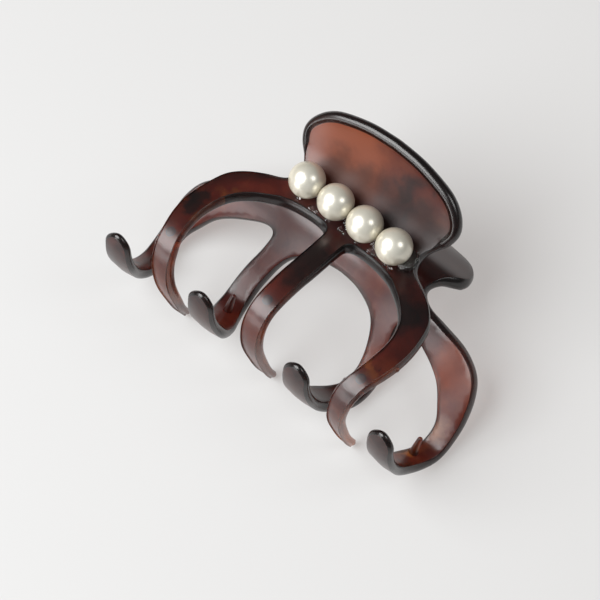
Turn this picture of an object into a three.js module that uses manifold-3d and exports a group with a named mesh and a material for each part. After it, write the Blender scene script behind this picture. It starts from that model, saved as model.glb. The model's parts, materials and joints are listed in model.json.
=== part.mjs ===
// Hair claw clip: two moulded jaws on a spring hinge, with a row of faux pearls on the front jaw.
// Units are millimetres, +Z is up, and the clip lies closed on its back jaw.
//
// The clip is modelled in its own frame first: X runs along the hinge pin, +Y points to the finger
// tabs (so the prongs point to -Y), and +Z points to the front jaw. The hinge axis is Y = Z = 0.
// At the end the whole clip is tipped about X until it rests on its back tab and its prongs.

import * as THREE from 'three';
import { mergeVertices } from 'three/addons/utils/BufferGeometryUtils.js';
import Module from 'manifold-3d';

const wasm = await Module();
wasm.setup();

// ---- driving dimensions -------------------------------------------------------------------

const PEARL_PITCH = 8;            // nominal 8 mm pearls, set side by side
const PEARL_RADIUS = 3.85;        // leaves 0.3 mm between neighbours
const PEARL_COUNT = 4;
const GAP = 0.3;                  // clearance between pieces that touch

const SADDLE_HEIGHT = 6.9;        // outer face of a jaw above the hinge axis, at its waist
const SADDLE_HALF_FLAT = 2.1;     // half length of the flat seat there, along Y
const PIN_RADIUS = 1.0;
const PIN_HALF_LENGTH = 14.1;
const PIN_HEAD_RADIUS = 1.7;
const PIN_HEAD_LENGTH = 0.8;
const LUG_RADIUS = 2.8;
const LUG_THICKNESS = 2.6;
const FRONT_LUG_X = 9.6;          // centre of each front lug; the back lugs stand outside them
const BACK_LUG_X = FRONT_LUG_X + LUG_THICKNESS + GAP;

const SPRING_WIRE = 0.55;         // wire radius
const SPRING_RADIUS = 2.2;        // mean coil radius
const SPRING_TURNS = 7;
const SPRING_HALF_LENGTH = 7.2;
const SPRING_LEG = 11;            // length of each straight leg
const FRONT_LEG_ANGLE = 12;       // degrees each leg leans away from the mid-plane
const BACK_LEG_ANGLE = 30;

const RIM = 0.6;                  // bevel round every edge of a jaw
const ROW = 2.4;                  // spacing of the rows that a jaw is built from
const EDGE_STEP = 2.4;            // spacing of points along a jaw's outline
const NEAR_ROW = 0.5;             // an outline point this close to a row is put on it

const SPIKE_LENGTH = 5;
const SPIKE_BASE_RADIUS = 1.1;
const SPIKE_TIP_RADIUS = 0.5;

// ---- materials ----------------------------------------------------------------------------

const tortoiseshell = new THREE.MeshStandardMaterial({ color: 0x4a1c12, roughness: 0.35, metalness: 0 });
const pearlCoat = new THREE.MeshStandardMaterial({ color: 0xeee6d6, roughness: 0.2, metalness: 0 });
const clearGlue = new THREE.MeshStandardMaterial({ color: 0xcfc8c2, roughness: 0.1, metalness: 0 });
const steel = new THREE.MeshStandardMaterial({ color: 0xb9b6b0, roughness: 0.3, metalness: 1 });

// ---- jaw profiles: the outer face seen along the hinge, from the tab's end to the prong tips --

// Each point is [y, height], where height is measured away from the hinge towards that jaw.
const FRONT_PROFILE = {
  tab: [[17, 17.6], [12.5, 12.5], [7.6, 9], [4.4, 7.4], [SADDLE_HALF_FLAT, SADDLE_HEIGHT]],
  jaw: [
    [-SADDLE_HALF_FLAT, SADDLE_HEIGHT], [-4, 7.6], [-6.4, 8.9], [-13.1, 12], [-18.8, 14.9], [-24.4, 16.5],
    [-28.2, 16.2], [-31.5, 13.8], [-34, 9.5], [-35.5, 4.3], [-36.3, -3.2], [-36.6, -9], [-36.2, -15.8],
  ],
};
const BACK_PROFILE = {
  tab: [[8.8, 22.8], [6.6, 16.4], [3.6, 11.4], [1.8, 8.6], [0.4, SADDLE_HEIGHT + 0.5]],
  jaw: [
    [0.4 - 2 * SADDLE_HALF_FLAT, SADDLE_HEIGHT + 0.5], [-6.4, 8.9], [-13.1, 12], [-18.8, 14.9], [-24.4, 16.5],
    [-28.4, 16.2], [-31.8, 13.8], [-34.7, 9.5], [-36.4, 4.3], [-36.5, -3.2], [-35.1, -9], [-32.2, -14.6],
  ],
};

const BULGE_POINT = 5;            // the back jaw's profile point that touches the table

// Wall thickness of a jaw at the end of its tab, at its waist, round the bulge and at its tips.
const THICKNESS = [[-20, 2.4], [0, 3.5], [25, 3], [40, 2.6], [64, 1.8]];

function thicknessAt(u) {
  const i = THICKNESS.findIndex(([station]) => station > u);
  if (i === 0) return THICKNESS[0][1];
  if (i < 0) return THICKNESS[THICKNESS.length - 1][1];
  const [u0, t0] = THICKNESS[i - 1];
  const [u1, t1] = THICKNESS[i];
  return t0 + ((t1 - t0) * (u - u0)) / (u1 - u0);
}

// A jaw surface: place(x, u, depth) is the point at x along the hinge, at arc length u along the
// profile from the middle of the saddle (positive towards the tips), depth below the outer face.
// side is +1 for the front jaw and -1 for the back jaw. crown bows each row towards the tips, by
// crown times x squared, and skew leans the jaw along Y, by skew times x.
function jawSurface(profile, side, crown, skew) {
  const spline = (points) => new THREE.SplineCurve(points.map(([y, z]) => new THREE.Vector2(y, z)));
  const path = new THREE.CurvePath();
  const tab = spline(profile.tab);
  const jaw = spline(profile.jaw);
  const saddle = new THREE.LineCurve(tab.points[tab.points.length - 1], jaw.points[0]);
  path.add(tab);
  path.add(saddle);
  path.add(jaw);
  const total = path.getLength();
  const start = tab.getLength() + saddle.getLength() / 2;
  const at = (u) => path.getPoint(THREE.MathUtils.clamp((u + start) / total, 0, 1));
  const step = 0.05;
  const place = (x, u, depth) => {
    const p = at(u);
    const along = at(u + step).sub(at(u - step)).normalize();
    // the outward normal is the profile's direction turned a quarter towards the outside
    const y = p.x - along.y * depth - crown * x * x + skew * x;
    const z = p.y + along.x * depth;
    return new THREE.Vector3(x, y, side * z);
  };
  return { place, side };
}

// ---- jaw outlines: the edge of a jaw laid flat, right half, as [x, u] ----------------------

// From the middle of the tab's far edge, round the tab, waist and outer arch to the outer prong's
// tip, back up inside the opening, and down the middle prong to its tip.
const FRONT_OUTLINE = [
  [0, -20], [7, -19.4], [13.8, -17.6], [17, -16], [19.2, -14], [20.5, -11.9], [20.8, -9.7],
  [19.9, -7.1], [18.3, -5.1], [17, -3.3], [16.7, -1.4], [17.9, 0.8], [21.9, 2.4], [25.4, 4.5],
  [28, 7.4], [29.2, 10.8], [29.9, 15], [30, 19], [29.6, 22.5], [28.8, 26], [28.1, 29.2], [27.1, 35],
  [26.3, 41], [25.8, 47], [25.4, 54], [25.2, 60], [24.8, 63.6], [24.1, 64.9], [23.3, 63.6],
  [22.7, 60], [22, 54], [21.7, 47], [21.9, 40], [22.5, 32], [23.3, 28], [23.9, 25], [24.3, 21],
  [24.3, 17.5], [23.7, 14.2], [22.4, 11.4], [20, 9], [17.4, 7.3], [14.7, 5.8], [11.7, 5.1], [8, 4.8],
  [5, 4.9], [3.4, 5.5], [2.9, 7], [2.85, 15], [2.8, 25], [2.7, 35], [2.5, 43], [2.2, 52], [1.9, 59.6],
  [1.5, 63.2], [0.8, 64.7], [0, 65.1],
];

// The back jaw has two prongs a side: outer prong, outer opening, inner prong, and half of the
// middle opening.
const BACK_OUTLINE = [
  [0, -20.6], [7, -19.9], [12, -18.6], [16.2, -16.6], [19.3, -14.2], [21.2, -12.1], [22.5, -10],
  [23.2, -7.6], [23.2, -5.9], [22.6, -4.5], [21.4, -3.3], [19.8, -2.1], [18.6, -0.4], [19, 1],
  [21.5, 2.2], [25.8, 2.9], [32.4, 4.4], [37.5, 7.6], [40, 12.1], [41, 17.6], [41.2, 23.2], [41, 28.2],
  [40.3, 33], [39.6, 38], [39.3, 44], [39.4, 51], [39.2, 57], [38.8, 60.6], [36, 62.8], [33.2, 60.6],
  [32.6, 57], [32.5, 51], [33.4, 44], [33.9, 37], [35, 31.6], [35.7, 26.6], [35.5, 21.9],
  [33.7, 18.1], [31.4, 14.4], [28.4, 12], [24.8, 10.1], [21, 8.5], [18.5, 8.3], [17.7, 9.6],
  [18.2, 13.2], [19.5, 18.2], [20.1, 24.1], [19.6, 31.9], [17.9, 38.7], [17, 45], [16.8, 51],
  [16.4, 57], [16, 60.6], [13.1, 62.8], [10.2, 60.6], [9.6, 57], [9.3, 51], [9.2, 45],
  [10.6, 38], [12.3, 33.3], [13.6, 29.3], [14.2, 25.3], [14.1, 20.9], [12.6, 14.4], [10, 10.5],
  [5, 8], [0, 7.3],
];

// The whole outline as a closed loop of points about EDGE_STEP apart, mirrored in x.
function closedOutline(half) {
  const right = new THREE.SplineCurve(half.map(([x, u]) => new THREE.Vector2(x, u)));
  right.arcLengthDivisions = 40 * half.length;
  const count = Math.round(right.getLength() / EDGE_STEP);
  const points = right.getSpacedPoints(count);
  points[0].x = 0;
  points[count].x = 0;
  const left = points.slice(1, count).reverse().map((p) => new THREE.Vector2(-p.x, p.y));
  return points.concat(left);
}

// Puts a point wherever the outline crosses a row, so that each row can bend along its own line.
// A point that is nearly on the row it crosses moves onto it, and one that only just reaches over
// a row moves back, so that no piece of the outline is very small.
function addRowPoints(outline, rows) {
  const n = outline.length;
  outline.forEach((p, i) => {
    const before = outline[(i + n - 1) % n];
    const after = outline[(i + 1) % n];
    const row = rows.find((u) => Math.abs(u - p.y) < NEAR_ROW);
    if (row === undefined || before.row === row || after.row === row) return;
    if ((before.y - row) * (after.y - row) < 0) {
      p.y = row;
      p.row = row;
    } else if ((before.y - row) * (p.y - row) < 0) {
      p.y = row + Math.sign(before.y - row) * NEAR_ROW / 2;
    }
  });
  const result = [];
  outline.forEach((p, i) => {
    const q = outline[(i + 1) % n];
    result.push(p);
    const crossed = rows.filter((row) => (row - p.y) * (row - q.y) < 0);
    crossed.sort((a, b) => (a - b) * (q.y - p.y));
    for (const row of crossed) {
      const point = p.clone().lerp(q, (row - p.y) / (q.y - p.y));
      point.y = row;
      point.row = row;
      result.push(point);
    }
  });
  return result;
}

// The parts of the outline's inside between two rows, as lists of indices into the outline.
function panelsBetween(outline, low, high) {
  const inside = (p) => p.y > low && p.y < high;
  const n = outline.length;
  const onRow = (p) => p.row === low || p.row === high;
  const chains = [];
  for (let i = 0; i < n; i++) {
    const p = outline[i];
    const q = outline[(i + 1) % n];
    const enters = onRow(p) && inside(q);
    const spans = onRow(p) && onRow(q) && p.row !== q.row;
    if (!enters && !spans) continue;
    const chain = [i];
    for (let j = (i + 1) % n; ; j = (j + 1) % n) {
      chain.push(j);
      if (onRow(outline[j])) break;
    }
    chains.push(chain);
  }
  const lastIndex = (chain) => chain[chain.length - 1];
  const partner = new Map();
  for (const row of [low, high]) {
    const bothEnds = chains.flatMap((chain) => [chain[0], lastIndex(chain)]);
    const ends = bothEnds.filter((i) => outline[i].row === row);
    ends.sort((a, b) => outline[a].x - outline[b].x);
    for (let k = 0; k + 1 < ends.length; k += 2) {
      partner.set(ends[k], ends[k + 1]);
      partner.set(ends[k + 1], ends[k]);
    }
  }
  const byStart = new Map(chains.map((chain) => [chain[0], chain]));
  const panels = [];
  while (byStart.size > 0) {
    const panel = [];
    let chain = byStart.values().next().value;
    while (chain) {
      byStart.delete(chain[0]);
      panel.push(...chain);
      chain = byStart.get(partner.get(lastIndex(chain)));
    }
    panels.push(panel);
  }
  return panels;
}

// Each outline point moved inwards by an amount, for the bevelled rim.
function inset(outline, amount) {
  const n = outline.length;
  return outline.map((p, i) => {
    const before = p.clone().sub(outline[(i + n - 1) % n]).normalize();
    const after = outline[(i + 1) % n].clone().sub(p).normalize();
    const tangent = before.add(after).normalize();
    return new THREE.Vector2(p.x - tangent.y * amount, p.y + tangent.x * amount);
  });
}

// A jaw's plate: the outline given thickness and bent along the profile.
function platePositions(surface, half) {
  const edge = closedOutline(half);
  const lowest = Math.min(...edge.map((p) => p.y));
  const highest = Math.max(...edge.map((p) => p.y));
  const rows = [];
  for (let u = lowest + 0.35 * ROW; u < highest; u += ROW) rows.push(u);
  const outline = addRowPoints(edge, rows);
  const n = outline.length;
  const narrowed = inset(outline, RIM);
  const layer = (points, depth) => points.map((p, i) => surface.place(p.x, p.y, depth(outline[i].y)));
  const layers = [
    layer(narrowed, () => 0),
    layer(outline, () => RIM),
    layer(outline, (u) => thicknessAt(u) - RIM),
    layer(narrowed, (u) => thicknessAt(u)),
  ];
  // each triangle is three corners, and a corner is a layer and a point of the outline
  const triangles = [];
  const bounds = [lowest - 1, ...rows, highest + 1];
  for (let k = 0; k + 1 < bounds.length; k++) {
    for (const panel of panelsBetween(outline, bounds[k], bounds[k + 1])) {
      const corners = panel.map((i) => outline[i]);
      for (const face of THREE.ShapeUtils.triangulateShape(corners, [])) {
        const [a, b, c] = face.map((i) => panel[i]);
        triangles.push([[0, a], [0, c], [0, b]], [[3, a], [3, b], [3, c]]);
      }
    }
  }
  for (let level = 0; level < 3; level++) {
    for (let i = 0; i < n; i++) {
      const j = (i + 1) % n;
      triangles.push([[level, i], [level + 1, j], [level + 1, i]], [[level, i], [level, j], [level + 1, j]]);
    }
  }
  // the back jaw is a mirror image, so its triangles are turned over
  const ordered = surface.side > 0 ? triangles : triangles.map(([a, b, c]) => [a, c, b]);
  return ordered.flatMap((face) => face.flatMap(([level, i]) => layers[level][i].toArray()));
}

// ---- solids ------------------------------------------------------------------------------

function geometryOf(positions) {
  const geometry = new THREE.BufferGeometry();
  geometry.setAttribute('position', new THREE.Float32BufferAttribute(positions, 3));
  return geometry;
}

function solid(geometry) {
  const bare = geometry.clone();
  bare.deleteAttribute('normal');
  bare.deleteAttribute('uv');
  const merged = mergeVertices(bare, 1e-4);
  return new wasm.Manifold(new wasm.Mesh({
    numProp: 3,
    vertProperties: new Float32Array(merged.attributes.position.array),
    triVerts: new Uint32Array(merged.index.array),
  }));
}

function geometryFrom(manifold) {
  const mesh = manifold.getMesh();
  const geometry = new THREE.BufferGeometry();
  geometry.setAttribute('position', new THREE.BufferAttribute(mesh.vertProperties, 3));
  geometry.setIndex(new THREE.BufferAttribute(mesh.triVerts, 1));
  return geometry;
}

// A cylinder or cone along X, centred at x on the hinge axis.
function alongHinge(radius, length, x, sides = 24) {
  return new THREE.CylinderGeometry(radius, radius, length, sides).rotateZ(Math.PI / 2).translate(x, 0, 0);
}

// A lug: a plate across the hinge, round about the pin and rooted in the saddle above it.
function lug(x, side) {
  const root = SADDLE_HEIGHT - thicknessAt(0) + 1;
  const shape = new THREE.Shape();
  shape.absarc(0, 0, LUG_RADIUS, Math.PI, 2 * Math.PI, false);
  shape.lineTo(LUG_RADIUS, root);
  shape.lineTo(-LUG_RADIUS, root);
  const plate = new THREE.ExtrudeGeometry(shape, {
    depth: LUG_THICKNESS, bevelEnabled: false, curveSegments: 8,
  });
  plate.translate(0, 0, -LUG_THICKNESS / 2);
  // the shape's x becomes Y and its y becomes Z
  const upright = new THREE.Matrix4().set(0, 0, 1, x, 1, 0, 0, 0, 0, 1, 0, 0, 0, 0, 0, 1);
  plate.applyMatrix4(upright);
  if (side < 0) plate.rotateX(Math.PI);
  return plate;
}

// A grip spike on the inside of a prong, standing square to its inner face.
function spike(surface, x, u) {
  const wall = thicknessAt(u);
  const foot = surface.place(x, u, wall - 0.5);
  const direction = surface.place(x, u, wall).sub(surface.place(x, u, 0)).normalize();
  const cone = new THREE.CylinderGeometry(SPIKE_TIP_RADIUS, SPIKE_BASE_RADIUS, SPIKE_LENGTH, 10);
  cone.translate(0, SPIKE_LENGTH / 2, 0);
  cone.applyQuaternion(new THREE.Quaternion().setFromUnitVectors(new THREE.Vector3(0, 1, 0), direction));
  return cone.translate(foot.x, foot.y, foot.z);
}

function jawGeometry({ profile, outline, side, crown, skew, lugX, spikes }) {
  const surface = jawSurface(profile, side, crown, skew);
  let jaw = solid(geometryOf(platePositions(surface, outline)));
  for (const end of [-1, 1]) jaw = jaw.add(solid(lug(end * lugX, side)));
  for (const [x, u] of spikes) jaw = jaw.add(solid(spike(surface, x, u)));
  const bore = solid(alongHinge(PIN_RADIUS + GAP, 4 * PIN_HALF_LENGTH, 0));
  return geometryFrom(jaw.subtract(bore));
}

// The hinge pin: a plain rod with a formed head at each end.
function pinGeometry() {
  const headStart = PIN_HALF_LENGTH;
  const end = headStart + PIN_HEAD_LENGTH;
  const profile = [
    [0, -end], [PIN_HEAD_RADIUS, -end], [PIN_HEAD_RADIUS, -headStart], [PIN_RADIUS, -headStart],
    [PIN_RADIUS, headStart], [PIN_HEAD_RADIUS, headStart], [PIN_HEAD_RADIUS, end], [0, end],
  ];
  const points = profile.map(([r, x]) => new THREE.Vector2(r, x));
  return new THREE.LatheGeometry(points, 24).rotateZ(-Math.PI / 2);
}

// The torsion spring: a coil round the pin whose two legs lie along the tabs' inner faces.
class SpringPath extends THREE.Curve {
  constructor() {
    super();
    // each leg leaves the coil on the tabs' side, heading out along its tab
    this.frontAngle = THREE.MathUtils.degToRad(90 + FRONT_LEG_ANGLE);
    this.backAngle = THREE.MathUtils.degToRad(270 - BACK_LEG_ANGLE);
    this.sweep = SPRING_TURNS * 2 * Math.PI + this.backAngle - this.frontAngle;
    this.coilLength = this.sweep * SPRING_RADIUS;
    this.total = this.coilLength + 2 * SPRING_LEG;
  }

  coilPoint(s) {
    const angle = this.frontAngle + this.sweep * s;
    const x = THREE.MathUtils.lerp(-SPRING_HALF_LENGTH, SPRING_HALF_LENGTH, s);
    return new THREE.Vector3(x, SPRING_RADIUS * Math.cos(angle), SPRING_RADIUS * Math.sin(angle));
  }

  getPoint(t, target = new THREE.Vector3()) {
    const travelled = t * this.total - SPRING_LEG;
    const s = THREE.MathUtils.clamp(travelled / this.coilLength, 0, 1);
    const angle = this.frontAngle + this.sweep * s;
    const beyond = travelled - s * this.coilLength;
    const along = new THREE.Vector3(0, -Math.sin(angle), Math.cos(angle));
    return target.copy(this.coilPoint(s)).addScaledVector(along, beyond);
  }
}

function springGeometry() {
  const path = new SpringPath();
  const section = new THREE.Shape();
  section.absarc(0, 0, SPRING_WIRE, 0, 2 * Math.PI, false);
  const steps = SPRING_TURNS * 14 + 8;
  return new THREE.ExtrudeGeometry(section, {
    extrudePath: path, steps, curveSegments: 3, bevelEnabled: false,
  });
}

// The clear adhesive: a low bead along the saddle with a socket for each pearl.
const PEARL_HEIGHT = SADDLE_HEIGHT + GAP + PEARL_RADIUS;
const pearlX = (i) => (i - (PEARL_COUNT - 1) / 2) * PEARL_PITCH;

function adhesiveGeometry() {
  const halfLength = 15.4;
  const halfWidth = 2.7;
  const height = 1.5;
  const bead = new THREE.Shape();
  bead.absarc(halfLength - halfWidth, 0, halfWidth, -Math.PI / 2, Math.PI / 2, false);
  bead.absarc(halfWidth - halfLength, 0, halfWidth, Math.PI / 2, 1.5 * Math.PI, false);
  const slab = new THREE.ExtrudeGeometry(bead, {
    depth: height - 0.8, bevelSize: 0.4, bevelThickness: 0.4, bevelOffset: -0.4, bevelSegments: 1,
    curveSegments: 6,
  });
  slab.translate(0, 0, SADDLE_HEIGHT + GAP + 0.4);
  let glue = solid(slab);
  for (let i = 0; i < PEARL_COUNT; i++) {
    const socket = new THREE.SphereGeometry(PEARL_RADIUS + GAP, 24, 16).translate(pearlX(i), 0, PEARL_HEIGHT);
    glue = glue.subtract(solid(socket));
  }
  return geometryFrom(glue);
}

// ---- assembly ----------------------------------------------------------------------------

const clip = new THREE.Group();

function piece(name, geometry, material) {
  const mesh = new THREE.Mesh(geometry, material);
  mesh.name = name;
  clip.add(mesh);
  return mesh;
}

// the back jaw sits slightly askew, as the moulded clip does
piece('front_jaw', jawGeometry({
  profile: FRONT_PROFILE, outline: FRONT_OUTLINE, side: 1, crown: 0.0016, skew: 0.012,
  lugX: FRONT_LUG_X, spikes: [[-26.1, 27], [0, 27], [26.1, 27]],
}), tortoiseshell);
piece('back_jaw', jawGeometry({
  profile: BACK_PROFILE, outline: BACK_OUTLINE, side: -1, crown: 0.0006, skew: 0.032,
  lugX: BACK_LUG_X, spikes: [[-36.6, 33.5], [-15.8, 33.5], [15.8, 33.5], [36.6, 33.5]],
}), tortoiseshell);
piece('hinge_pin', pinGeometry(), steel);
piece('torsion_spring', springGeometry(), steel);
piece('pearl_adhesive', adhesiveGeometry(), clearGlue);
for (let i = 0; i < PEARL_COUNT; i++) {
  const pearl = piece(`pearl_${i + 1}`, new THREE.SphereGeometry(PEARL_RADIUS, 20, 14), pearlCoat);
  pearl.position.set(pearlX(i), 0, PEARL_HEIGHT);
}

// The clip rests on the end of its back tab and on the bulge of its back prongs.
const [tabEndY, tabEndHeight] = BACK_PROFILE.tab[0];
const [bulgeY, bulgeHeight] = BACK_PROFILE.jaw[BULGE_POINT];
clip.rotation.x = Math.atan2(tabEndHeight - bulgeHeight, tabEndY - bulgeY);

const resting = new THREE.Group();
resting.add(clip);
resting.updateMatrixWorld(true);
const box = new THREE.Box3().setFromObject(resting, true);
clip.position.set(-(box.min.x + box.max.x) / 2, -(box.min.y + box.max.y) / 2, -box.min.z);

export default resting;
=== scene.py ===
"""The looks of a tortoiseshell claw clip with faux pearls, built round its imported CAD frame.

The jaws are made again from the same profiles and outlines as the CAD model, with a fine mesh and
rounded, polished edges. Lengths in the tables are millimetres in the clip's own frame: X runs
along the hinge pin, +Y points to the finger tabs and +Z to the front jaw, with the hinge axis at
Y = Z = 0. to_row() turns that frame into the row frame of the pack, in metres.
"""
import json
import math
import random

import bpy
import bmesh
import numpy as np
from mathutils import Matrix, Vector
from mathutils.geometry import delaunay_2d_cdt


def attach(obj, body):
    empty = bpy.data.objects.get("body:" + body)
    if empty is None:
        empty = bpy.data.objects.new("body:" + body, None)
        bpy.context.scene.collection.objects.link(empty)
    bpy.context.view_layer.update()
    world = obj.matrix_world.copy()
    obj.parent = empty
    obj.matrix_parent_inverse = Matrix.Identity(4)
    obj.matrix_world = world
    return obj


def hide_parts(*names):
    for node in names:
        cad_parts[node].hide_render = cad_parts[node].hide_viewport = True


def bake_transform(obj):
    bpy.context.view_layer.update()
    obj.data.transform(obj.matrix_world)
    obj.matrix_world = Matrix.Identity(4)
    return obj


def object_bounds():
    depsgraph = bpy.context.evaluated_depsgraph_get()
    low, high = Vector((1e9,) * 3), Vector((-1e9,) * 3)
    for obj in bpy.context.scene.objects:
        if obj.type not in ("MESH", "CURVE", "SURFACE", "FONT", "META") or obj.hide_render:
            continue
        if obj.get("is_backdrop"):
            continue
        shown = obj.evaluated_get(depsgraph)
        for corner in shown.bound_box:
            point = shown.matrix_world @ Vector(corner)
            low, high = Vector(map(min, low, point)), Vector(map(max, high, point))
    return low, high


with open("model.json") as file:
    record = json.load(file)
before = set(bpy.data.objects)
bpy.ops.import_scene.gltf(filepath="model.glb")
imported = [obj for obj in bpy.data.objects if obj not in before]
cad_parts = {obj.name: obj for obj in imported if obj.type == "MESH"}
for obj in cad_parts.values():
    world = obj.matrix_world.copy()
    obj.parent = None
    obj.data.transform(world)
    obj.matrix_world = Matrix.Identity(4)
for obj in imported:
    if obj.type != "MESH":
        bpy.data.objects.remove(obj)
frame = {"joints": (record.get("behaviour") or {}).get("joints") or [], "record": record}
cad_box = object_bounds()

MM = 0.001

# ---- the clip's frame ------------------------------------------------------------------------

hinge = frame["joints"][0]["pos_m"]
seat = next(m for m in frame["record"]["mounts"] if m["name"] == "ornament_seat")
clip_z = -Vector(seat["axis"])                 # the seat faces away from the front jaw
clip_x = Vector((1, 0, 0))
clip_y = clip_z.cross(clip_x)
CLIP_AXES = np.array([clip_x, clip_y, clip_z])  # one axis per row


def to_row(points):
    """Points in the clip's frame, in mm, as points in the row frame, in metres."""
    return np.array(hinge) + np.asarray(points, float) @ CLIP_AXES * MM


# ---- sizes shared with the CAD model ---------------------------------------------------------

SADDLE_HEIGHT = 6.9
SADDLE_HALF_FLAT = 2.1
GAP = 0.3
PEARL_PITCH = 8.0
PEARL_COUNT = 4
CAD_PEARL_RADIUS = 3.85
PEARL_X = [(i - (PEARL_COUNT - 1) / 2) * PEARL_PITCH for i in range(PEARL_COUNT)]
PEARL_HEIGHT = SADDLE_HEIGHT + GAP + CAD_PEARL_RADIUS
PIN_RADIUS = 1.0
PIN_HALF_LENGTH = 14.1
PIN_HEAD_RADIUS = 1.7
PIN_HEAD_LENGTH = 0.8
LUG_RADIUS = 2.8
LUG_THICKNESS = 2.6
FRONT_LUG_X = 9.6
BACK_LUG_X = FRONT_LUG_X + LUG_THICKNESS + GAP
SPRING_WIRE = 0.5      # the wire's radius, a little under the CAD's
SPRING_RADIUS = 2.2
SPRING_TURNS = 7
SPRING_HALF_LENGTH = 7.2
SPRING_LEG = 11.0
THICKNESS = [(-20, 2.4), (0, 3.5), (25, 3.0), (40, 2.6), (64, 1.8)]

FRONT_PROFILE = {
    "tab": [(17, 17.6), (12.5, 12.5), (7.6, 9), (4.4, 7.4), (SADDLE_HALF_FLAT, SADDLE_HEIGHT)],
    "jaw": [(-SADDLE_HALF_FLAT, SADDLE_HEIGHT), (-4, 7.6), (-6.4, 8.9), (-13.1, 12), (-18.8, 14.9),
            (-24.4, 16.5), (-28.2, 16.2), (-31.5, 13.8), (-34, 9.5), (-35.5, 4.3), (-36.3, -3.2),
            (-36.6, -9), (-36.2, -15.8)],
}
BACK_PROFILE = {
    "tab": [(8.8, 22.8), (6.6, 16.4), (3.6, 11.4), (1.8, 8.6), (0.4, SADDLE_HEIGHT + 0.5)],
    "jaw": [(0.4 - 2 * SADDLE_HALF_FLAT, SADDLE_HEIGHT + 0.5), (-6.4, 8.9), (-13.1, 12),
            (-18.8, 14.9), (-24.4, 16.5), (-28.4, 16.2), (-31.8, 13.8), (-34.7, 9.5), (-36.4, 4.3),
            (-36.5, -3.2), (-35.1, -9), (-32.2, -14.6)],
}

# Each outline is the right half of a jaw laid flat, as (x, u).
FRONT_OUTLINE = [
    (0, -20), (7, -19.4), (13.8, -17.6), (17, -16), (19.2, -14), (20.5, -11.9), (20.8, -9.7),
    (19.9, -7.1), (18.3, -5.1), (17, -3.3), (16.7, -1.4), (17.9, 0.8), (21.9, 2.4), (25.4, 4.5),
    (28, 7.4), (29.2, 10.8), (29.9, 15), (30, 19), (29.6, 22.5), (28.8, 26), (28.1, 29.2),
    (27.1, 35), (26.3, 41), (25.8, 47), (25.4, 54), (25.2, 60), (24.8, 63.6), (24.1, 64.9),
    (23.3, 63.6), (22.7, 60), (22, 54), (21.7, 47), (21.9, 40), (22.5, 32), (23.3, 28),
    (23.9, 25), (24.3, 21), (24.3, 17.5), (23.7, 14.2), (22.4, 11.4), (20, 9), (17.4, 7.3),
    (14.7, 5.8), (11.7, 5.1), (8, 4.8), (5, 4.9), (3.4, 5.5), (2.9, 7), (2.85, 15), (2.8, 25),
    (2.7, 35), (2.5, 43), (2.2, 52), (1.9, 59.6), (1.5, 63.2), (0.8, 64.7), (0, 65.1),
]
BACK_OUTLINE = [
    (0, -20.6), (7, -19.9), (12, -18.6), (16.2, -16.6), (19.3, -14.2), (21.2, -12.1), (22.5, -10),
    (23.2, -7.6), (23.2, -5.9), (22.6, -4.5), (21.4, -3.3), (19.8, -2.1), (18.6, -0.4),
    (19, 1), (21.5, 2.2), (25.8, 2.9), (32.4, 4.4), (37.5, 7.6), (40, 12.1), (41, 17.6),
    (41.2, 23.2), (41, 28.2), (40.3, 33), (39.6, 38), (39.3, 44), (39.4, 51), (39.2, 57),
    (38.8, 60.6), (36, 62.8), (33.2, 60.6), (32.6, 57), (32.5, 51), (33.4, 44), (33.9, 37),
    (35, 31.6), (35.7, 26.6), (35.5, 21.9), (33.7, 18.1), (31.4, 14.4), (28.4, 12), (24.8, 10.1),
    (21, 8.5), (18.5, 8.3), (17.7, 9.6), (18.2, 13.2), (19.5, 18.2), (20.1, 24.1), (19.6, 31.9),
    (17.9, 38.7), (17, 45), (16.8, 51), (16.4, 57), (16, 60.6), (13.1, 62.8), (10.2, 60.6),
    (9.6, 57), (9.3, 51), (9.2, 45), (10.6, 38), (12.3, 33.3), (13.6, 29.3), (14.2, 25.3),
    (14.1, 20.9), (12.6, 14.4), (10, 10.5), (5, 8), (0, 7.3),
]

# ---- fineness of the made meshes, mm ---------------------------------------------------------

OUTLINE_STEP = 0.36
OUTLINE_BLUR = 1.4     # in outline points, which rounds the corners a little
FACE_STEP = 1.15
WALL_RINGS = 13
EDGE_INSET = 0.5       # how far the polished wall bulges past the edge of a face
EDGE_FILLET = 0.1      # small fillet between a face and the wall
BEAD = 1.2             # radius of the half-round bead along a tab's edge
DARK_WALLS_TO = 13.0   # the u up to which the front jaw's walls are near black
EDGE_DROP = 0.28       # how far a prong's outer face falls away at its edges
DOME_REACH = 2.6       # over what width it does so
PEARL_RADIUS = 3.95    # a little over the CAD's, so that the pearls all but touch


# ---- curves and outlines ---------------------------------------------------------------------

def through(knots):
    """A Catmull-Rom curve through the knots, as dense points."""
    per_span = 24
    k = np.array(knots, float)
    w = np.linspace(0, 1, per_span, endpoint=False)[:, None]
    spans = []
    for i in range(len(k) - 1):
        p0, p1, p2, p3 = k[max(i - 1, 0)], k[i], k[i + 1], k[min(i + 2, len(k) - 1)]
        v0, v1 = (p2 - p0) / 2, (p3 - p1) / 2
        cubic = 2 * p1 - 2 * p2 + v0 + v1
        square = -3 * p1 + 3 * p2 - 2 * v0 - v1
        spans.append(cubic * w**3 + square * w**2 + v0 * w + p1)
    return np.vstack(spans + [k[-1:]])


def lengths_along(points):
    """How far along the line each of its points lies."""
    return np.r_[0, np.cumsum(np.linalg.norm(np.diff(points, axis=0), axis=1))]


def resample(points, step):
    """The same line with points an even distance apart."""
    s = lengths_along(points)
    at = np.linspace(0, s[-1], max(2, round(s[-1] / step) + 1))
    return np.column_stack([np.interp(at, s, points[:, k]) for k in range(points.shape[1])])


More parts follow.
